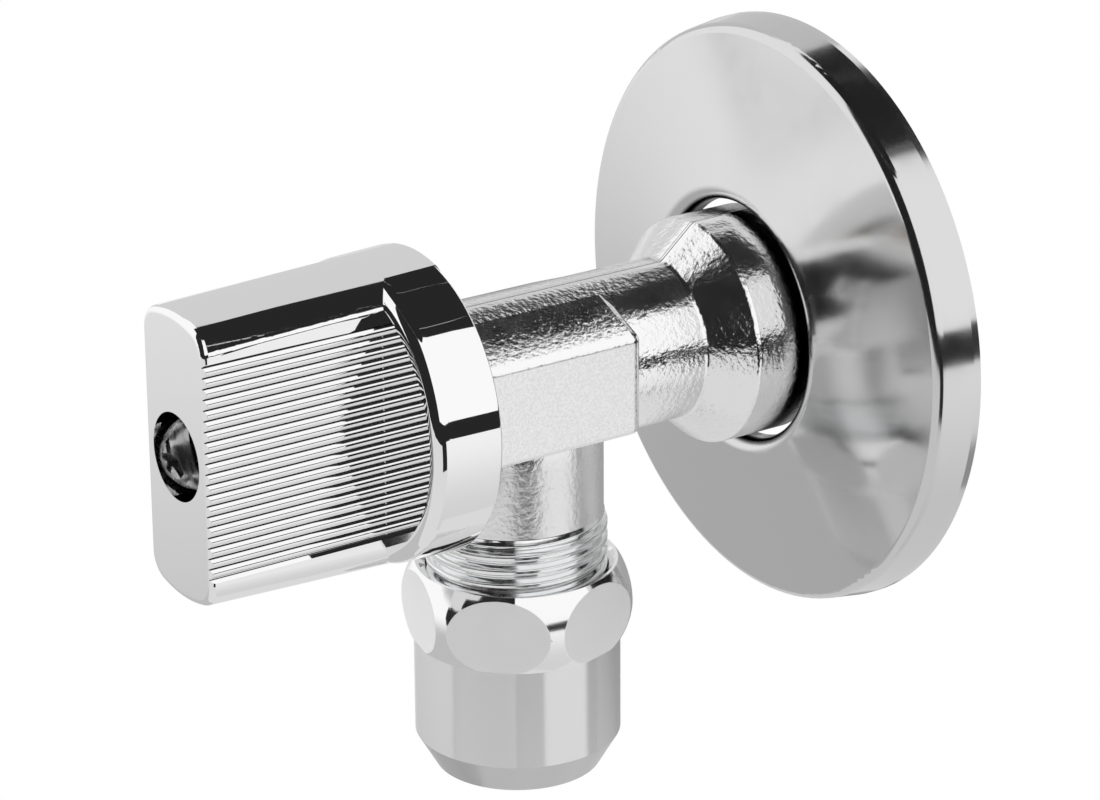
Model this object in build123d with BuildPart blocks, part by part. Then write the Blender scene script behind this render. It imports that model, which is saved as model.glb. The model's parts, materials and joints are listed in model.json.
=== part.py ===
"""Angle valve: half-inch inlet from the wall, compression outlet for a 10 mm pipe pointing down,
a sliding wall rosette, and a paddle knob on a non-rising spindle that lifts the plunger off its seat."""

import os
from math import acos, atan2, cos, hypot, sin

from build123d import *

# Frame: the origin is on the valve axis in the wall plane, +Y goes into the wall and +Z is up.
# Places along the valve axis (names ending in _at) are counted from the outlet axis, positive
# towards the wall. Heights (names ending in _z) are counted from the valve axis.
wall_to_outlet = 31.2

# Fits and clearances
running_clearance = 0.05
loose_clearance = 0.1
seal_clearance = 0.03
travel_margin = 0.25

# Forged body
barrel_radius = 7.5
body_front_at = -8.0
block_half_width = 8.5
block_top_z = 4.6
block_bottom_z = -4.8
block_rear_at = 8.2
block_round = 1.0
block_top_round = 1.0
block_bottom_round = 0.5
cone_start_at = 15.9
cone_end_at = 19.5
collar_radius = 10.6
collar_round = 0.6
collar_end_at = 26.4
thread_relief_width = 1.6
thread_relief_radius = 9.3
inlet_thread_radius = 10.48
inlet_thread_length = 12.0
thread_chamfer = 0.8
inlet_bore_radius = 5.5

# Outlet spigot
outlet_neck_radius = 8.0
outlet_thread_radius = 8.33
outlet_thread_top_z = -12.8
outlet_end_z = -24.0
passage_radius = 4.2
pipe_radius = 5.0
pipe_stop_z = -14.0
mouth_depth = 1.8

# Seat
orifice_radius = 4.0
seat_width = 0.8
seat_height = 1.0
seat_at = 5.2
orifice_length = 4.0

# Headwork housing
bonnet_thread_radius = 6.2
bonnet_across_flats = 14.0
bonnet_hex_thickness = 2.2
bonnet_boss_radius = 5.6
gasket_thickness = 0.8
chamber_radius = 4.65
key_slot_width = 2.0

# Spindle
journal_radius = 3.6
journal_length = 5.2
spindle_nose = 1.2
spindle_square = 5.0
square_length = 9.8
thrust_washer_thickness = 0.5
thrust_flange_thickness = 1.2
shank_radius = 2.5
shank_length = 5.6
o_ring_groove_depth = 1.0
o_ring_groove_width = 1.5
o_ring_spacing = 2.3
o_ring_setback = 1.5
circlip_thickness = 0.6
circlip_groove_depth = 0.6
circlip_radius = 5.0
circlip_gap = 2.4

# Plunger with its washer
plunger_travel = 2.75
sleeve_length = 4.7
disc_radius = 5.8
disc_thickness = 2.4
cup_height = 0.6
cup_wall = 0.5
key_engagement = 1.0
key_reach = 5.9
seat_washer_thickness = 2.0
stud_radius = 1.5
stud_overrun = 0.4
washer_nut_across_flats = 5.0
washer_nut_thickness = 1.8

# Knob
knob_back_at = -10.3
knob_front_at = -34.7
knob_back_radius = 13.97
knob_front_radius = 13.25
ring_front_at = -16.8
ring_round = 1.3
paddle_half_thickness = 5.3
paddle_edge_round = 2.5
paddle_front_round = 0.6
knob_back_round = 0.2
knob_recess_radius = 9.2
rib_count = 20
rib_pitch = 0.977
rib_groove_depth = 0.32
rib_crown = 0.26
square_clearance = 0.05
square_end_gap = 0.4
screw_web = 3.2
screw_hole_radius = 4.0

# Handle screw
screw_radius = 2.0
screw_length = 9.6
screw_tap_overrun = 1.0
screw_head_radius = 3.2
screw_head_height = 3.1
screw_head_crown = 0.7
recess_length = 3.6
recess_width = 0.9
recess_depth = 1.5

# Rosette
rosette_radius = 27.7
rosette_draft = 0.5
rosette_rim = 0.7
rosette_edge_depth = 4.3
rosette_depth = 7.6
rosette_thickness = 0.8
rosette_edge_round = 1.1
rosette_hole_radius = 11.3
rosette_lip_round = 1.2
rosette_lip_depth = 2.6

# Compression nut, with the rings it holds
nut_top_z = -17.9
nut_hex_bottom_z = -25.2
nut_skirt_bottom_z = -34.7
nut_bottom_z = -37.8
nut_across_flats = 19.1
nut_crown_radius = 10.65
nut_top_wall = 0.92
nut_skirt_radius = 9.5
nut_hex_ledge = 0.2
nut_foot_radius = 7.7
nut_turn_angle = -13.0
nut_mouth_chamfer = 0.62
nut_thread_overrun = 0.8
seal_seat_gap = 0.2
seal_length = 3.4
seal_lip_radius = 6.3
pressure_ring_thickness = 1.0
clamp_ring_length = 5.0
clamp_ring_wall = 1.5
clamp_ring_taper = 1.6
clamp_ring_slot = 1.0

# Sizes that follow from those above, along the valve axis from the seat to the knob
outlet_y = -wall_to_outlet
inlet_end_at = wall_to_outlet + inlet_thread_length
inlet_thread_at = collar_end_at + thread_relief_width
chamber_end_at = seat_at + seat_height
disc_rear_at = seat_at - seat_washer_thickness
plunger_disc_at = disc_rear_at - disc_thickness
plunger_front_at = plunger_disc_at - sleeve_length
bonnet_rear_at = plunger_disc_at - plunger_travel - travel_margin
key_front_at = bonnet_rear_at - key_engagement
key_slot_end_at = key_front_at - plunger_travel - travel_margin
flange_rear_at = plunger_front_at - plunger_travel - travel_margin
flange_front_at = flange_rear_at - thrust_flange_thickness
chamber_front_at = flange_front_at - thrust_washer_thickness
bonnet_front_at = chamber_front_at - journal_length
bonnet_hex_rear_at = body_front_at - gasket_thickness
bonnet_hex_front_at = bonnet_hex_rear_at - bonnet_hex_thickness
circlip_rear_at = bonnet_front_at - loose_clearance
circlip_groove_rear_at = circlip_rear_at + loose_clearance / 2
circlip_groove_front_at = circlip_rear_at - circlip_thickness - loose_clearance / 2
o_ring_places = [bonnet_front_at + o_ring_setback + n * o_ring_spacing for n in range(2)]
shank_end_at = flange_rear_at + shank_length
plunger_bore_end_at = shank_end_at + plunger_travel + travel_margin
stud_end_at = seat_at + washer_nut_thickness + stud_overrun
spindle_shoulder_at = bonnet_front_at - spindle_nose
spindle_end_at = spindle_shoulder_at - square_length
socket_end_at = spindle_end_at - square_end_gap
screw_seat_at = socket_end_at - screw_web
screw_top_at = screw_seat_at - screw_head_height
screw_end_at = screw_seat_at + screw_length

# Radii and widths that follow
bonnet_bore_radius = bonnet_thread_radius + running_clearance
spindle_bore_radius = journal_radius + running_clearance
flange_radius = chamber_radius - loose_clearance
circlip_seat_radius = journal_radius - circlip_groove_depth
o_ring_seat_radius = journal_radius - o_ring_groove_depth
plunger_radius = chamber_radius - running_clearance
seat_washer_radius = disc_radius - cup_wall - loose_clearance / 2
square_socket = spindle_square + 2 * square_clearance
pipe_bore_radius = pipe_radius + loose_clearance
nut_bore_radius = outlet_thread_radius + running_clearance
nut_top_radius = nut_bore_radius + nut_top_wall
nut_mouth_radius = nut_bore_radius + nut_mouth_chamfer
clamp_ring_radius = pipe_bore_radius + clamp_ring_wall

# Heights that follow, from the spigot's end down
seal_top_z = outlet_end_z + mouth_depth - seal_seat_gap
seal_bottom_z = seal_top_z - seal_length
pressure_ring_bottom_z = seal_bottom_z - pressure_ring_thickness
nut_thread_bottom_z = pressure_ring_bottom_z - nut_thread_overrun
clamp_ring_bottom_z = pressure_ring_bottom_z - clamp_ring_length
clamp_cone_z = clamp_ring_bottom_z + clamp_ring_taper

# Planes and axes
axial = Plane(origin=(0, outlet_y, 0), x_dir=(0, 1, 0), z_dir=(1, 0, 0))
valve_axis = Axis((0, outlet_y, 0), (0, 1, 0))
outlet_axis = Axis((0, outlet_y, 0), (0, 0, 1))


def across(at):
    """The plane across the valve axis at a place along it, facing the knob."""
    return Plane(origin=(0, outlet_y + at, 0), x_dir=(1, 0, 0), z_dir=(0, -1, 0))


def level(z):
    """The plane across the outlet axis at a height, facing up."""
    return Plane(origin=(0, outlet_y, z), x_dir=(1, 0, 0), z_dir=(0, 0, 1))


def outline(*points):
    """A closed profile in the plane of both axes, of (place along the valve axis, height) points."""
    with BuildSketch(axial) as profile:
        with BuildLine():
            Polyline(*points, close=True)
        make_face()
    return profile.sketch


def tube(start, end, inner, outer):
    """A profile of a plain ring about the valve axis."""
    return outline((start, inner), (start, outer), (end, outer), (end, inner))


def stub(start, end, radius):
    """A profile of a plain round bar about the valve axis."""
    return outline((start, 0), (start, radius), (end, radius), (end, 0))


def save(piece, name):
    """Names a finished piece and writes it."""
    piece.part.label = name
    export_step(piece.part, f"parts/{name}.step")


os.makedirs("parts", exist_ok=True)

# Valve body: a forging with flats round the outlet, machined at its three ends
block_corner_radius = hypot(block_half_width, block_top_z)
shoulder_angle = atan2(block_top_z, block_half_width) + acos(barrel_radius / block_corner_radius)
shoulder_x = barrel_radius * cos(shoulder_angle)
shoulder_z = barrel_radius * sin(shoulder_angle)
with BuildPart() as valve_body:
    with BuildSketch(across(block_rear_at)):
        with BuildLine():
            Polyline(
                (block_half_width, block_bottom_z),
                (block_half_width, block_top_z),
                (shoulder_x, shoulder_z),
                (-shoulder_x, shoulder_z),
                (-block_half_width, block_top_z),
                (-block_half_width, block_bottom_z),
                close=True,
            )
        make_face()
    extrude(amount=block_rear_at - body_front_at)
    fillet(valve_body.edges().filter_by(Axis.Y).group_by(Axis.Z)[1], block_top_round)
    fillet(valve_body.edges().filter_by(Axis.Y).group_by(Axis.Z)[0], block_bottom_round)
    fillet(valve_body.faces().sort_by(Axis.Y)[-1].edges(), block_round)
    with BuildSketch(axial):
        with BuildLine():
            neck = FilletPolyline(
                (body_front_at, barrel_radius),
                (cone_start_at, barrel_radius),
                (cone_end_at, collar_radius),
                (collar_end_at, collar_radius),
                radius=[collar_round, collar_round],
            )
            Polyline(
                neck @ 1,
                (collar_end_at, thread_relief_radius),
                (inlet_thread_at, thread_relief_radius),
                (inlet_thread_at, inlet_thread_radius),
                (inlet_end_at - thread_chamfer, inlet_thread_radius),
                (inlet_end_at, inlet_thread_radius - thread_chamfer),
                (inlet_end_at, 0),
                (body_front_at, 0),
                neck @ 0,
            )
        make_face()
    revolve(axis=valve_axis)
    revolve(
        outline(
            (0, 0),
            (outlet_neck_radius, 0),
            (outlet_neck_radius, outlet_thread_top_z),
            (outlet_thread_radius, outlet_thread_top_z - thread_chamfer / 2),
            (outlet_thread_radius, outlet_end_z + thread_chamfer),
            (outlet_thread_radius - thread_chamfer, outlet_end_z),
            (0, outlet_end_z),
        ),
        axis=outlet_axis,
    )
    # Water way: headwork bore, seat, orifice and inlet bore
    revolve(
        outline(
            (body_front_at, 0),
            (body_front_at, bonnet_bore_radius),
            (chamber_end_at, bonnet_bore_radius),
            (chamber_end_at, orifice_radius + seat_width),
            (seat_at, orifice_radius + seat_width),
            (seat_at, orifice_radius),
            (seat_at + orifice_length, orifice_radius),
            (seat_at + orifice_length, inlet_bore_radius),
            (inlet_end_at, inlet_bore_radius),
            (inlet_end_at, 0),
        ),
        axis=valve_axis,
        mode=Mode.SUBTRACT,
    )
    # Outlet passage, pipe socket and its conical mouth
    revolve(
        outline(
            (0, 0),
            (passage_radius, 0),
            (passage_radius, pipe_stop_z),
            (pipe_bore_radius, pipe_stop_z),
            (pipe_bore_radius, outlet_end_z + mouth_depth),
            (pipe_bore_radius + mouth_depth, outlet_end_z),
            (0, outlet_end_z),
        ),
        axis=outlet_axis,
        mode=Mode.SUBTRACT,
    )
save(valve_body, "valve_body")

# Rosette: a pressed dish with a turned-in lip round the collar
rosette_edge_at = wall_to_outlet - rosette_edge_depth
rosette_face_at = wall_to_outlet - rosette_depth
lip_end_at = rosette_face_at + rosette_lip_depth
with BuildPart() as rosette:
    with BuildSketch(axial):
        with BuildLine():
            outer = FilletPolyline(
                (wall_to_outlet - rosette_rim, rosette_radius),
                (rosette_edge_at, rosette_radius - rosette_draft),
                (rosette_face_at, rosette_hole_radius),
                (lip_end_at, rosette_hole_radius),
                radius=[rosette_edge_round, rosette_lip_round],
            )
            inner = FilletPolyline(
                (lip_end_at, rosette_hole_radius + rosette_thickness),
                (rosette_face_at + rosette_thickness, rosette_hole_radius + rosette_thickness),
                (rosette_edge_at + rosette_thickness, rosette_radius - rosette_draft - rosette_thickness),
                (wall_to_outlet, rosette_radius - rosette_thickness),
                radius=[rosette_lip_round - rosette_thickness, rosette_edge_round - rosette_thickness],
            )
            Line(outer @ 1, inner @ 0)
            Polyline(inner @ 1, (wall_to_outlet, rosette_radius), outer @ 0)
        make_face()
    revolve(axis=valve_axis)
save(rosette, "rosette")

# Bonnet: the headwork's housing, screwed into the body, with two slots that keep the plunger from turning
with BuildPart() as bonnet:
    revolve(stub(bonnet_hex_rear_at, bonnet_rear_at, bonnet_thread_radius), axis=valve_axis)
    revolve(stub(bonnet_front_at, bonnet_hex_front_at, bonnet_boss_radius), axis=valve_axis)
    with BuildSketch(across(bonnet_hex_rear_at)):
        RegularPolygon(bonnet_across_flats / 2, 6, major_radius=False)
    extrude(amount=bonnet_hex_thickness)
    revolve(
        stub(bonnet_front_at, chamber_front_at, spindle_bore_radius),
        axis=valve_axis,
        mode=Mode.SUBTRACT,
    )
    revolve(stub(chamber_front_at, bonnet_rear_at, chamber_radius), axis=valve_axis, mode=Mode.SUBTRACT)
    with BuildSketch(across(bonnet_rear_at)):
        Rectangle(2 * bonnet_bore_radius, key_slot_width)
    extrude(amount=bonnet_rear_at - key_slot_end_at, mode=Mode.SUBTRACT)
save(bonnet, "bonnet")

with BuildPart() as bonnet_gasket:
    revolve(
        tube(bonnet_hex_rear_at, body_front_at, bonnet_bore_radius, barrel_radius - loose_clearance),
        axis=valve_axis,
    )
save(bonnet_gasket, "bonnet_gasket")

# Spindle: square end for the knob, sealed journal, thrust flange and threaded shank
with BuildPart() as spindle:
    with BuildSketch(across(spindle_shoulder_at)):
        Rectangle(spindle_square, spindle_square)
    extrude(amount=spindle_shoulder_at - spindle_end_at)
    revolve(stub(spindle_shoulder_at, flange_front_at, journal_radius), axis=valve_axis)
    revolve(stub(flange_front_at, flange_rear_at, flange_radius), axis=valve_axis)
    revolve(stub(flange_rear_at, shank_end_at, shank_radius), axis=valve_axis)
    for place in o_ring_places:
        revolve(
            tube(
                place - o_ring_groove_width / 2,
                place + o_ring_groove_width / 2,
                o_ring_seat_radius,
                journal_radius + loose_clearance,
            ),
            axis=valve_axis,
            mode=Mode.SUBTRACT,
        )
    revolve(
        tube(
            circlip_groove_front_at,
            circlip_groove_rear_at,
            circlip_seat_radius,
            journal_radius + loose_clearance,
        ),
        axis=valve_axis,
        mode=Mode.SUBTRACT,
    )
    revolve(
        stub(spindle_end_at, screw_end_at + screw_tap_overrun, screw_radius + running_clearance),
        axis=valve_axis,
        mode=Mode.SUBTRACT,
    )
save(spindle, "spindle")


def o_ring(place):
    """A round seal ring in one of the spindle's grooves."""
    section_radius = (spindle_bore_radius - o_ring_seat_radius) / 2 - seal_clearance
    centre_radius = (spindle_bore_radius + o_ring_seat_radius) / 2
    with BuildPart() as ring:
        with BuildSketch(axial):
            with Locations((place, centre_radius)):
                Circle(section_radius)
        revolve(axis=valve_axis)
    return ring


save(o_ring(o_ring_places[0]), "spindle_o_ring_front")
save(o_ring(o_ring_places[1]), "spindle_o_ring_rear")

with BuildPart() as thrust_washer:
    revolve(
        tube(chamber_front_at, flange_front_at, journal_radius + loose_clearance, flange_radius),
        axis=valve_axis,
    )
save(thrust_washer, "thrust_washer")

with BuildPart() as spindle_circlip:
    with BuildSketch(across(circlip_rear_at)):
        Circle(circlip_radius)
        Circle(circlip_seat_radius + running_clearance, mode=Mode.SUBTRACT)
        with Locations((0, circlip_radius / 2)):
            Rectangle(circlip_gap, circlip_radius, mode=Mode.SUBTRACT)
    extrude(amount=circlip_thickness)
save(spindle_circlip, "spindle_circlip")

# Plunger: threaded sleeve with two keys, and a cupped disc with a stud for the washer
with BuildPart() as plunger:
    revolve(stub(plunger_front_at, plunger_disc_at, plunger_radius), axis=valve_axis)
    revolve(
        outline(
            (plunger_disc_at, 0),
            (plunger_disc_at, disc_radius),
            (disc_rear_at + cup_height, disc_radius),
            (disc_rear_at + cup_height, disc_radius - cup_wall),
            (disc_rear_at, disc_radius - cup_wall),
            (disc_rear_at, stud_radius),
            (stud_end_at, stud_radius),
            (stud_end_at, 0),
        ),
        axis=valve_axis,
    )
    with BuildSketch(across(plunger_disc_at)):
        Circle(key_reach)
        Rectangle(2 * key_reach, key_slot_width - 2 * running_clearance, mode=Mode.INTERSECT)
    extrude(amount=plunger_disc_at - key_front_at)
    revolve(
        stub(plunger_front_at, plunger_bore_end_at, shank_radius + running_clearance),
        axis=valve_axis,
        mode=Mode.SUBTRACT,
    )
save(plunger, "plunger")

with BuildPart() as seat_washer:
    revolve(
        tube(disc_rear_at, seat_at, stud_radius + running_clearance, seat_washer_radius),
        axis=valve_axis,
    )
save(seat_washer, "seat_washer")

with BuildPart() as washer_nut:
    with BuildSketch(across(seat_at + washer_nut_thickness)):
        RegularPolygon(washer_nut_across_flats / 2, 6, major_radius=False)
        Circle(stud_radius + running_clearance, mode=Mode.SUBTRACT)
    extrude(amount=washer_nut_thickness)
save(washer_nut, "washer_nut")

# Knob: a round skirt behind a ribbed paddle, cast with a little draft
knob_draft = (knob_back_radius - knob_front_radius) / (knob_back_at - knob_front_at)


def knob_radius(at):
    """The knob's outer radius at a place along the valve axis."""
    return knob_back_radius - knob_draft * (knob_back_at - at)


half_field = rib_count * rib_pitch / 2
groove_x = paddle_half_thickness - rib_groove_depth
with BuildPart() as knob:
    # Paddle
    revolve(
        outline(
            (knob_front_at, 0),
            (knob_front_at, knob_front_radius),
            (knob_back_at, knob_back_radius),
            (knob_back_at, 0),
        ),
        axis=valve_axis,
    )
    with BuildSketch(across(knob_back_at)):
        Rectangle(2 * paddle_half_thickness, 2 * knob_back_radius)
    extrude(amount=knob_back_at - knob_front_at, mode=Mode.INTERSECT)
    side_edges = knob.faces().filter_by(Axis.X).edges().filter_by(Axis.Y, reverse=True)
    fillet(side_edges.filter_by(lambda edge: abs(edge.center().Z) > paddle_half_thickness), paddle_edge_round)
    fillet(knob.faces().sort_by(Axis.Y)[0].edges(), paddle_front_round)
    # Ribs along both flats: shallow crowns between sharp grooves
    for side in (1, -1):
        with BuildSketch(across(knob_front_at)):
            with BuildLine():
                for n in range(rib_count):
                    low = n * rib_pitch - half_field
                    ThreePointArc(
                        (side * groove_x, low),
                        (side * (groove_x + rib_crown), low + rib_pitch / 2),
                        (side * groove_x, low + rib_pitch),
                    )
                Polyline(
                    (side * groove_x, half_field),
                    (side * paddle_half_thickness, half_field + rib_groove_depth),
                    (side * 2 * paddle_half_thickness, half_field + rib_groove_depth),
                    (side * 2 * paddle_half_thickness, -half_field - rib_groove_depth),
                    (side * paddle_half_thickness, -half_field - rib_groove_depth),
                    (side * groove_x, -half_field),
                )
            make_face()
        extrude(amount=ring_front_at - knob_front_at, dir=(0, 1, 0), mode=Mode.SUBTRACT)
    # Skirt
    with BuildSketch(axial):
        with BuildLine():
            FilletPolyline(
                (ring_front_at, 0),
                (ring_front_at, knob_radius(ring_front_at)),
                (knob_back_at, knob_back_radius),
                (knob_back_at, 0),
                radius=[ring_round, knob_back_round],
            )
            Line((ring_front_at, 0), (knob_back_at, 0))
        make_face()
    revolve(axis=valve_axis)
    # Hollow back, square socket, screw hole and its counterbore
    revolve(stub(spindle_shoulder_at, knob_back_at, knob_recess_radius), axis=valve_axis, mode=Mode.SUBTRACT)
    with BuildSketch(across(spindle_shoulder_at)):
        Rectangle(square_socket, square_socket)
    extrude(amount=spindle_shoulder_at - socket_end_at, mode=Mode.SUBTRACT)
    revolve(
        stub(knob_front_at, socket_end_at, screw_radius + loose_clearance),
        axis=valve_axis,
        mode=Mode.SUBTRACT,
    )
    revolve(stub(knob_front_at, screw_seat_at, screw_hole_radius), axis=valve_axis, mode=Mode.SUBTRACT)
save(knob, "knob")

# Handle screw: pan head with a cross recess
with BuildPart() as handle_screw:
    revolve(stub(screw_seat_at, screw_end_at, screw_radius), axis=valve_axis)
    with BuildSketch(axial):
        with BuildLine():
            Polyline(
                (screw_top_at, 0),
                (screw_seat_at, 0),
                (screw_seat_at, screw_head_radius),
                (screw_top_at + screw_head_crown, screw_head_radius),
            )
            TangentArc(
                (screw_top_at, 0),
                (screw_top_at + screw_head_crown, screw_head_radius),
                tangent=(0, 1),
            )
        make_face()
    revolve(axis=valve_axis)
    with BuildSketch(across(screw_top_at + recess_depth)):
        Rectangle(recess_length, recess_width)
        Rectangle(recess_width, recess_length)
    extrude(amount=recess_depth, mode=Mode.SUBTRACT)
save(handle_screw, "handle_screw")

# Compression nut: crowned hexagon, plain skirt and a tapered foot
hex_middle_z = (nut_top_z + nut_hex_bottom_z) / 2
with BuildPart() as compression_nut:
    with BuildSketch(axial):
        with BuildLine():
            Polyline(
                (nut_skirt_radius + nut_hex_ledge, nut_hex_bottom_z),
                (0, nut_hex_bottom_z),
                (0, nut_top_z),
                (nut_top_radius, nut_top_z),
            )
            ThreePointArc(
                (nut_top_radius, nut_top_z),
                (nut_crown_radius, hex_middle_z),
                (nut_skirt_radius + nut_hex_ledge, nut_hex_bottom_z),
            )
        make_face()
    revolve(axis=outlet_axis)
    with BuildSketch(level(nut_hex_bottom_z)):
        RegularPolygon(nut_across_flats / 2, 6, major_radius=False, rotation=nut_turn_angle)
    extrude(amount=nut_top_z - nut_hex_bottom_z, mode=Mode.INTERSECT)
    revolve(
        outline(
            (0, hex_middle_z),
            (nut_skirt_radius, hex_middle_z),
            (nut_skirt_radius, nut_skirt_bottom_z),
            (nut_foot_radius, nut_bottom_z),
            (0, nut_bottom_z),
        ),
        axis=outlet_axis,
    )
    revolve(
        outline(
            (0, nut_top_z),
            (nut_mouth_radius, nut_top_z),
            (nut_bore_radius, nut_top_z - nut_mouth_chamfer),
            (nut_bore_radius, nut_thread_bottom_z),
            (clamp_ring_radius + loose_clearance, nut_thread_bottom_z),
            (clamp_ring_radius + loose_clearance, clamp_cone_z),
            (pipe_bore_radius, clamp_ring_bottom_z - loose_clearance),
            (pipe_bore_radius, nut_bottom_z),
            (0, nut_bottom_z),
        ),
        axis=outlet_axis,
        mode=Mode.SUBTRACT,
    )
save(compression_nut, "compression_nut")

# Cone seal: fills the spigot's conical mouth round the pipe
with BuildPart() as cone_seal:
    revolve(
        outline(
            (pipe_bore_radius, seal_top_z),
            (pipe_bore_radius + seal_seat_gap - running_clearance, seal_top_z),
            (seal_lip_radius, outlet_end_z),
            (seal_lip_radius, seal_bottom_z),
            (pipe_bore_radius, seal_bottom_z),
        ),
        axis=outlet_axis,
    )
save(cone_seal, "cone_seal")

with BuildPart() as pressure_ring:
    revolve(
        outline(
            (pipe_bore_radius, seal_bottom_z),
            (nut_bore_radius - loose_clearance, seal_bottom_z),
            (nut_bore_radius - loose_clearance, pressure_ring_bottom_z),
            (pipe_bore_radius, pressure_ring_bottom_z),
        ),
        axis=outlet_axis,
    )
save(pressure_ring, "pressure_ring")

# Clamp ring: slit brass ring with a tapered end that the nut closes on the pipe
with BuildPart() as clamp_ring:
    revolve(
        outline(
            (pipe_bore_radius, pressure_ring_bottom_z),
            (clamp_ring_radius, pressure_ring_bottom_z),
            (clamp_ring_radius, clamp_cone_z),
            (pipe_bore_radius + running_clearance, clamp_ring_bottom_z),
            (pipe_bore_radius, clamp_ring_bottom_z),
        ),
        axis=outlet_axis,
    )
    with BuildSketch(level(clamp_ring_bottom_z)):
        with Locations((0, clamp_ring_radius / 2)):
            Rectangle(clamp_ring_slot, clamp_ring_radius)
    extrude(amount=clamp_ring_length, mode=Mode.SUBTRACT)
save(clamp_ring, "clamp_ring")
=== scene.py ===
"""Looks of the angle valve: chrome finishes, cut threads, a white studio and the photograph's camera."""

import json
import math

import bpy
import numpy as np
from mathutils import Matrix, Vector


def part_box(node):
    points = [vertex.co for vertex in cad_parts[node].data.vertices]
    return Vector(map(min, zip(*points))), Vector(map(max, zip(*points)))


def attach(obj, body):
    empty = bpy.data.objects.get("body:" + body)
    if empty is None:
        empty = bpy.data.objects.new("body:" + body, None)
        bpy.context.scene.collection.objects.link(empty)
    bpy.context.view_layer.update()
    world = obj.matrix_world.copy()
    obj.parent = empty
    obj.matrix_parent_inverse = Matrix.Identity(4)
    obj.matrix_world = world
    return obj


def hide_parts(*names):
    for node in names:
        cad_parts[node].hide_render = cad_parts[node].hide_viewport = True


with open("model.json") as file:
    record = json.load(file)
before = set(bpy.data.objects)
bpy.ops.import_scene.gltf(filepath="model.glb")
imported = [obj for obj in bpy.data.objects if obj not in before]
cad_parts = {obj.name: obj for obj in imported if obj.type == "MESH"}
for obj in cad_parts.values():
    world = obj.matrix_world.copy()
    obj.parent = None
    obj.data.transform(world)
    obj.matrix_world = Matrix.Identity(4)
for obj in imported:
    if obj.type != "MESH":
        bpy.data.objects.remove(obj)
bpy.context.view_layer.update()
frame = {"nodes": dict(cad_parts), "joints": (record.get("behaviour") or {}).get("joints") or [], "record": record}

MM = 0.001

# Places taken from the frame
joints = {joint["name"]: joint for joint in frame["joints"]}
mounts = {mount["name"]: mount for mount in frame["record"]["mounts"]}
OUTLET_Y = joints["nut_turn"]["pos_m"][1]
CROSSING = Vector((0, OUTLET_Y, 0))
BODY_LOW, BODY_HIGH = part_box("valve_body")
KNOB_FRONT_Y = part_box("knob")[0].y

# Camera, fitted to the photograph: angles in degrees, distance in metres
IMAGE_WIDTH = 1100
IMAGE_HEIGHT = 800
CAMERA_AZIMUTH = 57.02
CAMERA_ELEVATION = 21.32
CAMERA_ROLL = -0.57
CAMERA_DISTANCE = 0.4
CAMERA_CLIP = 0.01
FOCAL_PIXELS = 4454
CROSSING_PIXEL = (514.47, 373.73)
SENSOR_WIDTH = 36

# Studio floor, and the sphere of cards round the crossing of the axes
FLOOR_Z = -0.1
FLOOR_SIZE = 4.0
FLOOR_GREY = 0.9
FLOOR_GLOW_SHARE = 0.975
FLOOR_MIRRORED = 0.72
STUDIO_RADIUS = 0.6
CARD_Z = FLOOR_Z + 1 * MM
CARD_STEPS = 24

# Cards: azimuths with 0 at +Y and 90 at +X, elevations, and shades of the lower and upper edge
DARK = (0.02, 0.02)
CARDS = {
    "ceiling": ((-180, 180), (60, 90), DARK),
    "ceiling_back": ((-60, 42), (47, 60), DARK),
    "behind_camera": ((125, 195), (-12, 60), DARK),
    "under_camera": ((95, 125), (-28, -8), DARK),
    "floor_left_low": ((-165, -80), (-75, -34), (0.52, 0.52)),
    "floor_left": ((-165, -80), (-34, -2), (0.52, 1)),
    "horizon": ((30, 127), (-9, 2.5), DARK),
    "left": ((-92, -40), (0, 47), (0.65, 0.65)),
    "floor_right": ((-60, 43), (-40, -9), (0.34, 0.34)),
    "floor_window": ((43, 93), (-75, -9), (0.66, 0.92)),
}

# Widths of a sharp limit and of a soft one
HAIR = 0.02 * MM
FADE = 0.1 * MM

# Valve body
BODY_FRONT_Y = -39.2 * MM
BLOCK_REAR_Y = -23.0 * MM
BLOCK_HALF = 8.5 * MM
FORGED_END_Y = -4.85 * MM
MOUTH_Z = BODY_LOW.z + FADE / 2
BORE_RADIUS = 7.2 * MM
FORGED, MILLED, TURNED = range(3)

# Shoulder over each flat: heights from the flat to the barrel, and the tilt of its shading in degrees
SHOULDER_HEIGHTS = (3.93 * MM, 4.86 * MM, 6.93 * MM)
SHOULDER_TILTS = (10, 41, 56)

# Largest part of a normal along the valve's axis on the faces that get a shading of their own
SHOULDER_LEAN = 0.1
PADDLE_LEAN = 0.06

# Forging's skin: heights where it changes, and its relief in depths of a pebble
NECK_Z = (-4 * MM, -7 * MM)
TOP_Z = (6.2 * MM, 7.2 * MM)
GABLE_X = (2.6 * MM, 0)
GABLE_Z = (4 * MM, 6 * MM)
GABLE_HEIGHT = 4.1
SEAM_X = (0.22 * MM, 0.08 * MM)
PEBBLE_DEPTH = 0.058 * MM

# Knob
RING_FRONT_Y = OUTLET_Y - 16.8 * MM
RING_ROUND = 1.3 * MM
PADDLE_HALF = 5.3 * MM
PADDLE_FRONT_ROUND = 0.6 * MM
PADDLE_EDGE_ROUND = 2.5 * MM
PADDLE_MARGIN = 0.05 * MM
PADDLE_BLEND_TILTS = (6, 20)
RIB_COUNT = 20
RIB_PITCH = 0.977 * MM
RIB_FIELD_HALF = RIB_COUNT / 2 * RIB_PITCH
RIB_FLOOR_X = PADDLE_HALF - 0.32 * MM
GROOVE_PHASES = (0.09, 0.04)

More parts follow.
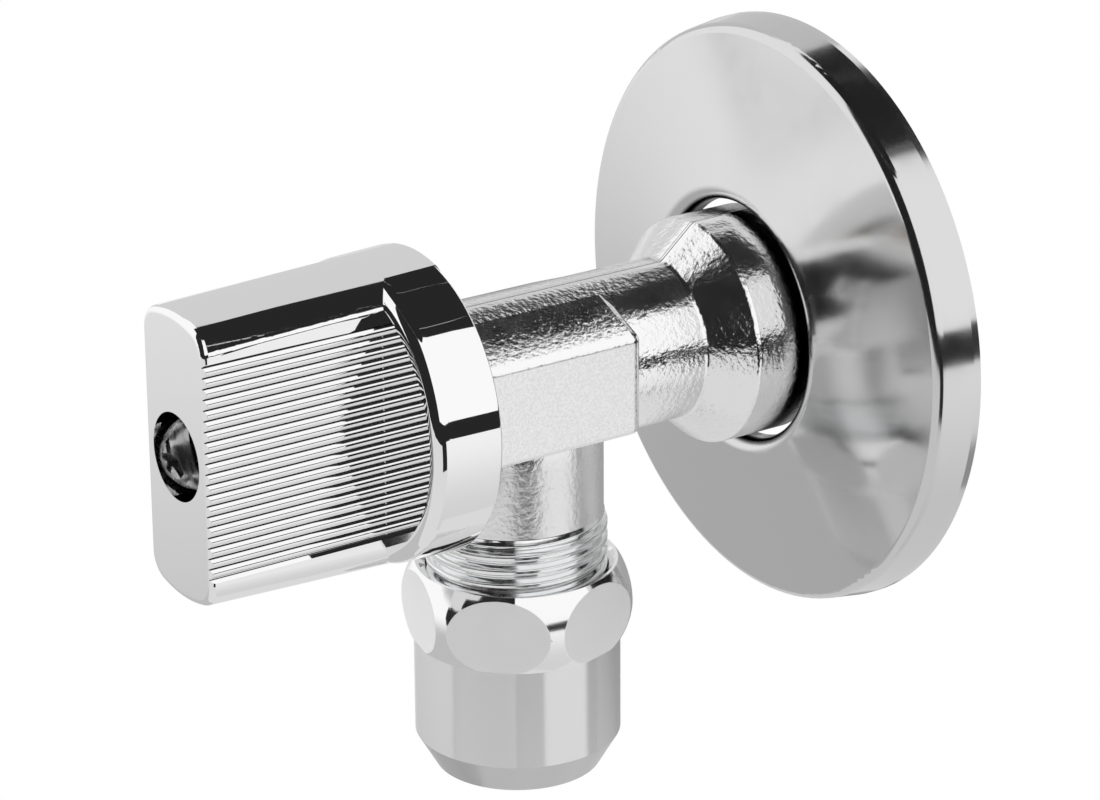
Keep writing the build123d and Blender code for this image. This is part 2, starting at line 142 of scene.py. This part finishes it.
# Rosette and compression nut
ROSETTE_FACE_Y = -7.6 * MM
ROSETTE_HOLE_RADIUS = 11.3 * MM
NUT_FLAT_ANGLES = (-43, 17, 77)
NUT_FLAT_DISTANCE = 9.55 * MM
NUT_HEX_BOTTOM = -25.2 * MM
NUT_SKIRT_BOTTOM = -34.7 * MM

# Threads: place along the axis and radius at the shoulder and at the end, then the cut
OUTLET_THREAD = {
    "start": (12.8 * MM, 8.0 * MM),
    "end": (-BODY_LOW.z, 7.53 * MM),
    "crest": OUTLET_Y - BODY_LOW.y,
    "root": 7.5 * MM,
    "pitch": 1.337 * MM,
}
INLET_THREAD = {
    "start": (-3.2 * MM, 9.3 * MM),
    "end": (BODY_HIGH.y, 9.68 * MM),
    "crest": mounts["inlet_thread"]["dims"]["r_mm"] * MM,
    "root": 9.35 * MM,
    "pitch": 1.814 * MM,
}
THREAD_COLUMNS = 120
THREAD_ROWS_A_TURN = 16
THREAD_ROOT_SHARE = 0.25
THREAD_FLANK_SHARE = 0.4
NEGLIGIBLE = 1e-16

# Colours, and greys where the detail of a finish sets the colour or where shade is painted
CHROME = (0.94, 0.945, 0.95)
CHROME_GREY = 0.945
FORGED_GREY = 0.94
# Painted shade of the gap between the forging's collar and the rosette
ROSETTE_GAP_SHADE_GREY = 0.15
SAND_GREYS = (0.89, 0.98)
# Painted shade at the bottom of the knob's rib grooves
GROOVE_SHADE_GREY = 0.04
ROSETTE_CHROME = (0.71, 0.715, 0.72)
ROSETTE_GREY = 0.715
# Painted shade on the neck in the rosette's hole
ROSETTE_NECK_SHADE_GREY = 0.03
NUT_FOOT_GREY = 0.7
STEEL = (0.6, 0.6, 0.61)
BRASS = (0.72, 0.57, 0.3)
RUBBER = (0.03, 0.03, 0.03)
FIBRE = (0.45, 0.12, 0.08)
PLASTIC = (0.85, 0.85, 0.82)

# Roughness of single areas, and the share of metal in the nut's satin flats
NECK_ROUGHNESS = 0.3
TOP_ROUGHNESS = 0.17
NUT_SKIRT_ROUGHNESS = 0.26
NUT_CROWN_ROUGHNESS = 0.07
NUT_FLAT_METAL = 0.45

# Levels between which most of a noise lies
NOISE_LEVELS = (0.3, 0.7)
SAND_LEVELS = (0.35, 0.65)


def add(tree, kind, inputs=None, **settings):
    """Adds a shader node, sets its options, and sets or links its inputs."""
    made = tree.nodes.new(kind)
    for name, value in settings.items():
        setattr(made, name, value)
    for name, value in (inputs or {}).items():
        if isinstance(value, bpy.types.NodeSocket):
            tree.links.new(value, made.inputs[name])
        else:
            made.inputs[name].default_value = value
    return made


def maths(tree, operation, first, second=0.0):
    """One step of arithmetic on two sockets or numbers."""
    return add(tree, "ShaderNodeMath", {0: first, 1: second}, operation=operation).outputs[0]


def vector_maths(tree, operation, first, second):
    """One step of arithmetic on two vectors, as a node."""
    return add(tree, "ShaderNodeVectorMath", {0: first, 1: second}, operation=operation)


def separate(tree, place):
    """The three coordinates of a place."""
    return add(tree, "ShaderNodeSeparateXYZ", {0: place}).outputs


def ramp(tree, value, low, high, start=0.0, end=1.0):
    """A smooth step from start to end while value goes from low to high."""
    inputs = {"Value": value, "From Min": low, "From Max": high, "To Min": start, "To Max": end}
    return add(tree, "ShaderNodeMapRange", inputs, interpolation_type="SMOOTHSTEP").outputs["Result"]


def blend(tree, share, first, second):
    """A value that goes from the first to the second with a share."""
    return add(tree, "ShaderNodeMix", {"Factor": share, "A": first, "B": second}).outputs["Result"]


def noise(tree, place, size, detail):
    """Noise from 0 to 1 with lumps of about this size in metres."""
    inputs = {"Vector": place, "Scale": 1 / size, "Detail": detail}
    return add(tree, "ShaderNodeTexNoise", inputs).outputs["Fac"]


def spread(tree, grain, least, most):
    """A noise spread out between two values."""
    return ramp(tree, grain, *NOISE_LEVELS, least, most)


def metal(name, colour, roughness):
    """A metal with a plain colour and roughness, and the sockets that its detail is linked to."""
    material = bpy.data.materials.new(name)
    material.use_nodes = True
    tree = material.node_tree
    shader = tree.nodes["Principled BSDF"]
    shader.inputs["Base Color"].default_value = (*colour, 1)
    shader.inputs["Metallic"].default_value = 1
    shader.inputs["Roughness"].default_value = roughness
    place = add(tree, "ShaderNodeTexCoord").outputs["Object"]
    return material, tree, shader, place


def bump(tree, shader, height, depth):
    """Links a bump of this depth in metres to the shader."""
    made = add(tree, "ShaderNodeBump", {"Height": height, "Distance": depth, "Strength": 1})
    tree.links.new(made.outputs["Normal"], shader.inputs["Normal"])


def make_camera():
    """The photograph's viewpoint, aimed at the crossing of the axes and shifted to its pixel."""
    azimuth, elevation, roll = (math.radians(x) for x in (CAMERA_AZIMUTH, CAMERA_ELEVATION, CAMERA_ROLL))
    back = Vector((
        math.sin(azimuth) * math.cos(elevation),
        -math.cos(azimuth) * math.cos(elevation),
        math.sin(elevation),
    ))
    level = Vector((math.cos(azimuth), math.sin(azimuth), 0))
    right = Matrix.Rotation(roll, 3, back) @ level
    up = back.cross(right)
    camera = bpy.data.objects.new("camera", bpy.data.cameras.new("camera"))
    bpy.context.scene.collection.objects.link(camera)
    pose = Matrix((right, up, back)).transposed().to_4x4()
    pose.translation = CROSSING + back * CAMERA_DISTANCE
    camera.matrix_world = pose
    camera.data.sensor_width = SENSOR_WIDTH
    camera.data.lens = FOCAL_PIXELS / IMAGE_WIDTH * SENSOR_WIDTH
    camera.data.shift_x = (IMAGE_WIDTH / 2 - CROSSING_PIXEL[0]) / IMAGE_WIDTH
    camera.data.shift_y = (CROSSING_PIXEL[1] - IMAGE_HEIGHT / 2) / IMAGE_WIDTH
    camera.data.clip_start = CAMERA_CLIP
    bpy.context.scene.camera = camera


def make_world():
    """An even white surround."""
    world = bpy.data.worlds.new("studio")
    world.use_nodes = True
    world.node_tree.nodes["Background"].inputs["Color"].default_value = (1, 1, 1, 1)
    world.node_tree.nodes["Background"].inputs["Strength"].default_value = 1
    bpy.context.scene.world = world


def stage_mesh(name, points, faces):
    """An object of the studio with an empty material, and that material's node tree."""
    mesh = bpy.data.meshes.new(name)
    mesh.from_pydata(points, [], faces)
    made = bpy.data.objects.new(name, mesh)
    bpy.context.scene.collection.objects.link(made)
    material = bpy.data.materials.new(name)
    material.use_nodes = True
    material.node_tree.nodes.clear()
    mesh.materials.append(material)
    return made, material.node_tree


def make_floor():
    """A pale floor that fades to white for the camera and keeps a soft shadow."""
    half = FLOOR_SIZE / 2
    corners = [(x * half, y * half, FLOOR_Z) for x, y in ((-1, -1), (1, -1), (1, 1), (-1, 1))]
    floor, tree = stage_mesh("floor", corners, [(0, 1, 2, 3)])
    path = add(tree, "ShaderNodeLightPath").outputs
    direct = maths(tree, "MAXIMUM", path["Is Camera Ray"], path["Is Transmission Ray"])
    seen = maths(tree, "MAXIMUM", direct, path["Is Glossy Ray"])
    level = ramp(tree, path["Is Glossy Ray"], 0, 1, 1, FLOOR_MIRRORED)
    glow = add(tree, "ShaderNodeEmission", {"Strength": level}).outputs[0]
    matt = add(tree, "ShaderNodeBsdfDiffuse", {"Color": (FLOOR_GREY, FLOOR_GREY, FLOOR_GREY, 1)}).outputs[0]
    share = maths(tree, "MULTIPLY", seen, FLOOR_GLOW_SHARE)
    mix = add(tree, "ShaderNodeMixShader", {0: share, 1: matt, 2: glow}).outputs[0]
    add(tree, "ShaderNodeOutputMaterial", {"Surface": mix})


def make_card(name, azimuths, elevations, shades):
    """A studio card on the sphere, cut off by the floor, which only mirrors see."""
    points = []
    for elevation in np.radians(np.linspace(*elevations, CARD_STEPS + 1)):
        for azimuth in np.radians(np.linspace(*azimuths, CARD_STEPS + 1)):
            way = Vector((
                math.sin(azimuth) * math.cos(elevation),
                math.cos(azimuth) * math.cos(elevation),
                math.sin(elevation),
            ))
            reach = STUDIO_RADIUS
            if CROSSING.z + reach * way.z < CARD_Z:
                reach = (CARD_Z - CROSSING.z) / way.z
            points.append(CROSSING + reach * way)
    faces = []
    for row in range(CARD_STEPS):
        for column in range(CARD_STEPS):
            corner = row * (CARD_STEPS + 1) + column
            above = corner + CARD_STEPS + 1
            faces.append((corner, corner + 1, above + 1, above))
    made, tree = stage_mesh(name, points, faces)
    place = add(tree, "ShaderNodeTexCoord").outputs["Object"]
    away = vector_maths(tree, "SUBTRACT", place, CROSSING).outputs[0]
    way = add(tree, "ShaderNodeVectorMath", {0: away}, operation="NORMALIZE").outputs[0]
    limits = [math.sin(math.radians(elevation)) for elevation in elevations]
    level = ramp(tree, separate(tree, way)["Z"], *limits, *shades)
    glow = add(tree, "ShaderNodeEmission", {"Strength": level}).outputs[0]
    add(tree, "ShaderNodeOutputMaterial", {"Surface": glow})
    made.visible_camera = False
    made.visible_diffuse = False
    made.visible_shadow = False


def dress(node, material):
    """Gives a node of the frame its material."""
    mesh = frame["nodes"][node].data
    mesh.materials.clear()
    mesh.materials.append(material)


def thread_profile(phase):
    """Height of a thread from 0 at the root to 1 at the crest, over one turn."""
    slope = np.abs((phase % 1) - 0.5) * 2
    return np.clip((slope - THREAD_ROOT_SHARE) / THREAD_FLANK_SHARE, 0, 1)


def thread(axes, start, end, crest, root, pitch):
    """A cut thread from a shoulder to an end, as points, quads and normals of its own."""
    centre, axis, side, cross = (np.array(vector) for vector in axes)
    length = end[0] - start[0]
    rows = np.arange(-THREAD_ROWS_A_TURN, int(length / pitch * THREAD_ROWS_A_TURN) + 2) / THREAD_ROWS_A_TURN
    turn = np.arange(THREAD_COLUMNS + 1) / THREAD_COLUMNS
    along = np.clip(pitch * (rows[:, None] + turn[None, :]), 0, length)
    cut = root + (crest - root) * thread_profile(rows)[:, None]
    lead_in = np.clip(along / pitch, 0, 1)
    lead_out = np.clip((length - along) / pitch, 0, 1)
    plain = np.where(along < length / 2, start[1], end[1])
    radius = plain + (cut - plain) * np.minimum(lead_in, lead_out)
    angle = 2 * np.pi * turn[None, :, None]
    outward = side * np.cos(angle) + cross * np.sin(angle)
    points = centre + axis * (start[0] + along)[..., None] + outward * radius[..., None]
    normals = np.cross(np.gradient(points, axis=1), np.gradient(points, axis=0))
    normals = normals * np.sign((normals * outward).sum(axis=2, keepdims=True))
    size = np.linalg.norm(normals, axis=2, keepdims=True)
    normals = np.where(size > NEGLIGIBLE, normals / np.maximum(size, NEGLIGIBLE), outward)
    index = np.arange(points.shape[0] * points.shape[1]).reshape(points.shape[:2])
    quads = np.stack([index[:-1, :-1], index[:-1, 1:], index[1:, 1:], index[1:, :-1]], axis=2).reshape(-1, 4)
    has_length = np.ptp(along.reshape(-1)[quads], axis=1) > 0
    return points.reshape(-1, 3), quads[has_length], normals.reshape(-1, 3)


def triangles(node):
    """Points, triangles and corner normals of a node of the frame."""
    source = frame["nodes"][node].data
    source.calc_loop_triangles()
    points = np.array([v.co for v in source.vertices])
    corners = np.array([t.vertices for t in source.loop_triangles])
    loops = np.array([t.loops for t in source.loop_triangles])
    normals = np.array([n.vector for n in source.corner_normals])[loops]
    return points, corners, normals


def tilted(tilt, x):
    """Normals at right angles to the valve's axis that rise by a tilt, to the side on which x lies."""
    return np.stack([np.sign(x) * np.cos(tilt), np.zeros_like(tilt), np.sin(tilt)], axis=2)


def dressed(node, body, points, faces, normals, finish, materials):
    """A mesh with normals and finishes of its own that takes a node's place."""
    mesh = bpy.data.meshes.new(node + "_dressed")
    mesh.from_pydata(points, [], faces)
    mesh.polygons.foreach_set("material_index", finish)
    mesh.polygons.foreach_set("use_smooth", [True] * len(faces))
    mesh.normals_split_custom_set(normals)
    made = bpy.data.objects.new(mesh.name, mesh)
    bpy.context.scene.collection.objects.link(made)
    for material in materials:
        mesh.materials.append(material)
    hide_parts(node)
    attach(made, body)


def make_knob():
    """The knob with its paddle's upper edges shaded as part of the round, down to a narrow edge."""
    points, corners, normals = triangles("knob")
    x, y, z = np.moveaxis(points[corners], 2, 0)
    edge = (y > KNOB_FRONT_Y + PADDLE_FRONT_ROUND - PADDLE_MARGIN) & (y < RING_FRONT_Y + RING_ROUND)
    edge &= (z > RIB_FIELD_HALF) & (np.abs(x) > PADDLE_HALF - PADDLE_EDGE_ROUND - PADDLE_MARGIN)
    edge &= np.abs(normals[..., 1]) < PADDLE_LEAN
    edge = edge.all(axis=1)
    steep = np.degrees(np.arctan2(normals[..., 2], np.abs(normals[..., 0])))
    tilt = np.arctan2(z, np.abs(x)) * np.interp(steep, PADDLE_BLEND_TILTS, (0, 1))
    normals[edge] = tilted(tilt, x)[edge]
    faces = corners.tolist()
    finish = [0] * len(faces)
    corner_normals = normals.reshape(-1, 3).tolist()
    dressed("knob", "handle", points.tolist(), faces, corner_normals, finish, [knob_finish()])


def make_body():
    """The forging with its two threads cut, and its forged, milled and turned faces told apart."""
    points, corners, normals = triangles("valve_body")
    x, y, z = np.moveaxis(points[corners], 2, 0)
    outlet_radius = np.hypot(x, y - OUTLET_Y)
    inlet_radius = np.hypot(x, z)

    def within(value, low, high):
        """Faces whose corners all lie between two limits."""
        return ((value > low - HAIR) & (value < high + HAIR)).all(axis=1)

    on_outlet = within(outlet_radius, OUTLET_THREAD["end"][1], OUTLET_THREAD["crest"])
    on_outlet &= within(-z, OUTLET_THREAD["start"][0], OUTLET_THREAD["end"][0])
    on_inlet = within(inlet_radius, INLET_THREAD["start"][1], INLET_THREAD["crest"])
    on_inlet &= within(y, INLET_THREAD["start"][0], INLET_THREAD["end"][0])
    kept = ~(on_outlet | on_inlet)
    flat = (np.abs(x) > BLOCK_HALF - HAIR).all(axis=1) & within(y, BODY_FRONT_Y, BLOCK_REAR_Y)
    turned = (y > FORGED_END_Y).all(axis=1) | (y < BODY_FRONT_Y + HAIR).all(axis=1)
    turned |= (inlet_radius < BORE_RADIUS).all(axis=1) & (z > -BORE_RADIUS).all(axis=1)
    turned |= (z < MOUTH_Z).all(axis=1) | (outlet_radius < BORE_RADIUS).all(axis=1)
    finish = np.where(turned, TURNED, np.where(flat, MILLED, FORGED))
    shoulder = within(y, BODY_FRONT_Y, BLOCK_REAR_Y) & within(z, SHOULDER_HEIGHTS[0], SHOULDER_HEIGHTS[-1])
    shoulder &= (inlet_radius > BORE_RADIUS).all(axis=1) & ~flat
    shoulder &= (np.abs(normals[..., 1]) < SHOULDER_LEAN).all(axis=1)
    tilt = np.radians(np.interp(z, SHOULDER_HEIGHTS, SHOULDER_TILTS))
    normals[shoulder] = tilted(tilt, x)[shoulder]

    outlet_axes = (CROSSING, (0, 0, -1), (0, 1, 0), (1, 0, 0))
    inlet_axes = ((0, 0, 0), (0, 1, 0), (0, 0, 1), (1, 0, 0))
    all_points = points.tolist()
    all_faces = corners[kept].tolist()
    all_normals = normals[kept].reshape(-1, 3).tolist()
    all_finish = finish[kept].tolist()
    threads = (thread(outlet_axes, **OUTLET_THREAD), thread(inlet_axes, **INLET_THREAD))
    for cut_points, quads, cut_normals in threads:
        all_faces += (quads + len(all_points)).tolist()
        all_points += cut_points.tolist()
        all_normals += cut_normals[quads].reshape(-1, 3).tolist()
        all_finish += [TURNED] * len(quads)
    materials = [forged_chrome(), milled_chrome(), turned_chrome()]
    dressed("valve_body", "valve", all_points, all_faces, all_normals, all_finish, materials)


def forged_chrome():
    """Plated forging with a pebbled skin, a parting line along its top and a painted shade of the gap by the
    rosette.
    """
    material, tree, shader, place = metal("forged_chrome", CHROME, roughness=0.12)
    parts = separate(tree, place)
    on_neck = ramp(tree, parts["Z"], *NECK_Z)
    on_top = ramp(tree, parts["Z"], *TOP_Z)
    patches = spread(tree, noise(tree, place, size=3 * MM, detail=3), least=0.07, most=0.16)
    rough = blend(tree, on_neck, patches, NECK_ROUGHNESS)
    rough = blend(tree, on_top, rough, TOP_ROUGHNESS)
    tree.links.new(rough, shader.inputs["Roughness"])
    # Painted shade: the collar darkens to near black where it meets the rosette's face, for the shaded gap between
    # them
    gap_shade_y = (ROSETTE_FACE_Y - 9 * FADE, ROSETTE_FACE_Y + 6 * FADE)
    gap_shade = ramp(tree, parts["Y"], *gap_shade_y, FORGED_GREY, ROSETTE_GAP_SHADE_GREY)
    tree.links.new(gap_shade, shader.inputs["Base Color"])
    pebbles = noise(tree, place, size=0.5 * MM, detail=3)
    beside = maths(tree, "ABSOLUTE", parts["X"])
    gable = maths(tree, "MULTIPLY", ramp(tree, beside, *GABLE_X), ramp(tree, parts["Z"], *GABLE_Z))
    seam = maths(tree, "MULTIPLY", ramp(tree, beside, *SEAM_X), on_top)
    relief = maths(tree, "ADD", pebbles, maths(tree, "MULTIPLY", gable, GABLE_HEIGHT))
    bump(tree, shader, maths(tree, "ADD", relief, seam), PEBBLE_DEPTH)
    return material


def milled_chrome():
    """Fine sandy satin of the flats."""
    material, tree, shader, place = metal("milled_chrome", CHROME, roughness=0.26)
    sand = noise(tree, place, size=0.22 * MM, detail=3)
    tree.links.new(ramp(tree, sand, *SAND_LEVELS, *SAND_GREYS), shader.inputs["Base Color"])
    bump(tree, shader, sand, depth=0.012 * MM)
    return material


def turned_chrome():
    """Bright turned metal of the threads and ends."""
    material, tree, shader, place = metal("turned_chrome", CHROME, roughness=0.12)
    wear = noise(tree, place, size=0.8 * MM, detail=3)
    tree.links.new(spread(tree, wear, least=0.06, most=0.2), shader.inputs["Roughness"])
    return material


def machined(name, colour, roughness):
    """Plain turned metal with fine tool marks."""
    material, tree, shader, place = metal(name, colour, roughness)
    marks = noise(tree, place, size=0.6 * MM, detail=4)
    rough = spread(tree, marks, least=0.7 * roughness, most=1.3 * roughness)
    tree.links.new(rough, shader.inputs["Roughness"])
    bump(tree, shader, marks, depth=0.008 * MM)
    return material


def moulded(name, colour, roughness):
    """Rubber, fibre or plastic with a slightly uneven skin."""
    material, tree, shader, place = metal(name, colour, roughness)
    shader.inputs["Metallic"].default_value = 0
    skin = noise(tree, place, size=0.4 * MM, detail=3)
    rough = spread(tree, skin, least=0.8 * roughness, most=1.1 * roughness)
    tree.links.new(rough, shader.inputs["Roughness"])
    bump(tree, shader, skin, depth=0.01 * MM)
    return material


def knob_finish():
    """Mirror chrome with buffing marks, and painted shade as dark lines at the bottom of the ribs' grooves."""
    material, tree, shader, place = metal("knob_chrome", CHROME, roughness=0.03)
    wear = noise(tree, place, size=4 * MM, detail=4)
    tree.links.new(spread(tree, wear, least=0.02, most=0.04), shader.inputs["Roughness"])
    parts = separate(tree, place)
    beside = maths(tree, "ABSOLUTE", parts["X"])
    above = maths(tree, "ABSOLUTE", parts["Z"])
    phase = maths(tree, "PINGPONG", maths(tree, "DIVIDE", parts["Z"], RIB_PITCH), 0.5)
    # Painted shade: the bottoms of the rib grooves darken to near black, for the shade in the creases
    groove = ramp(tree, phase, *GROOVE_PHASES)
    limits = (
        (beside, RIB_FLOOR_X - 3 * HAIR, RIB_FLOOR_X - HAIR),
        (beside, PADDLE_HALF + 2 * HAIR, PADDLE_HALF + HAIR),
        (above, RIB_FIELD_HALF + FADE, RIB_FIELD_HALF),
        (parts["Y"], KNOB_FRONT_Y + HAIR, KNOB_FRONT_Y + FADE),
        (parts["Y"], RING_FRONT_Y, RING_FRONT_Y - FADE),
    )
    for value, outside, inside in limits:
        groove = maths(tree, "MULTIPLY", groove, ramp(tree, value, outside, inside))
    tree.links.new(ramp(tree, groove, 0, 1, CHROME_GREY, GROOVE_SHADE_GREY), shader.inputs["Base Color"])
    return material


def rosette_finish():
    """Softly polished pressing with painted shade on the neck in its hole."""
    material, tree, shader, place = metal("rosette_chrome", ROSETTE_CHROME, roughness=0.07)
    wear = noise(tree, place, size=4 * MM, detail=4)
    tree.links.new(spread(tree, wear, least=0.1, most=0.14), shader.inputs["Roughness"])
    parts = separate(tree, place)
    squares = [maths(tree, "MULTIPLY", parts[name], parts[name]) for name in ("X", "Z")]
    radius = maths(tree, "SQRT", maths(tree, "ADD", *squares))
    # Painted shade: the neck in the hole darkens to near black, for the shaded gap round the valve's collar
    neck = ramp(tree, radius, ROSETTE_HOLE_RADIUS + 4 * FADE, ROSETTE_HOLE_RADIUS + FADE)
    tree.links.new(ramp(tree, neck, 0, 1, ROSETTE_GREY, ROSETTE_NECK_SHADE_GREY), shader.inputs["Base Color"])
    return material


def nut_finish():
    """Bright crown, satin flats, a softly turned skirt and a greyer foot."""
    material, tree, shader, place = metal("nut_chrome", CHROME, roughness=0.1)
    off_axis = vector_maths(tree, "SUBTRACT", place, CROSSING).outputs[0]
    reach = 0.0
    for angle in NUT_FLAT_ANGLES:
        way = (math.cos(math.radians(angle)), math.sin(math.radians(angle)), 0)
        along = vector_maths(tree, "DOT_PRODUCT", off_axis, way).outputs["Value"]
        reach = maths(tree, "MAXIMUM", maths(tree, "ABSOLUTE", along), reach)
    height = separate(tree, place)["Z"]
    on_hexagon = ramp(tree, height, NUT_HEX_BOTTOM - HAIR, NUT_HEX_BOTTOM + HAIR)
    off_flats = ramp(tree, reach, NUT_FLAT_DISTANCE - HAIR / 4, NUT_FLAT_DISTANCE - 2 * HAIR)
    on_crown = maths(tree, "MULTIPLY", on_hexagon, off_flats)
    on_flats = maths(tree, "SUBTRACT", on_hexagon, on_crown)
    on_foot = ramp(tree, height, NUT_SKIRT_BOTTOM + FADE / 2, NUT_SKIRT_BOTTOM - FADE / 2)
    satin = spread(tree, noise(tree, place, size=3 * MM, detail=3), least=0.5, most=0.56)
    rough = blend(tree, on_hexagon, NUT_SKIRT_ROUGHNESS, satin)
    rough = blend(tree, on_crown, rough, NUT_CROWN_ROUGHNESS)
    tree.links.new(rough, shader.inputs["Roughness"])
    tree.links.new(ramp(tree, on_flats, 0, 1, 1, NUT_FLAT_METAL), shader.inputs["Metallic"])
    tree.links.new(ramp(tree, on_foot, 0, 1, CHROME_GREY, NUT_FOOT_GREY), shader.inputs["Base Color"])
    shader.inputs["Anisotropic"].default_value = 1
    shader.inputs["Anisotropic Rotation"].default_value = 0.25
    round_axis = add(tree, "ShaderNodeTangent", direction_type="RADIAL", axis="Z").outputs["Tangent"]
    tree.links.new(round_axis, shader.inputs["Tangent"])
    return material


make_camera()
make_world()
make_floor()
for card_name, card_form in CARDS.items():
    make_card(card_name, *card_form)

finishes = {
    "cast_chrome": turned_chrome(),
    "knob_chrome": machined("knob_inside", CHROME, roughness=0.2),
    "rosette_chrome": rosette_finish(),
    "nut_chrome": nut_finish(),
    "steel": machined("steel", STEEL, roughness=0.28),
    "brass": machined("brass", BRASS, roughness=0.3),
    "seal_rubber": moulded("seal_rubber", RUBBER, roughness=0.6),
    "fibre": moulded("fibre", FIBRE, roughness=0.8),
    "slip_plastic": moulded("slip_plastic", PLASTIC, roughness=0.4),
}
for subpart in frame["record"]["subparts"]:
    dress(subpart["node"], finishes[subpart["material_slot"]])
make_body()
make_knob()

bpy.context.scene.view_settings.view_transform = "Standard"
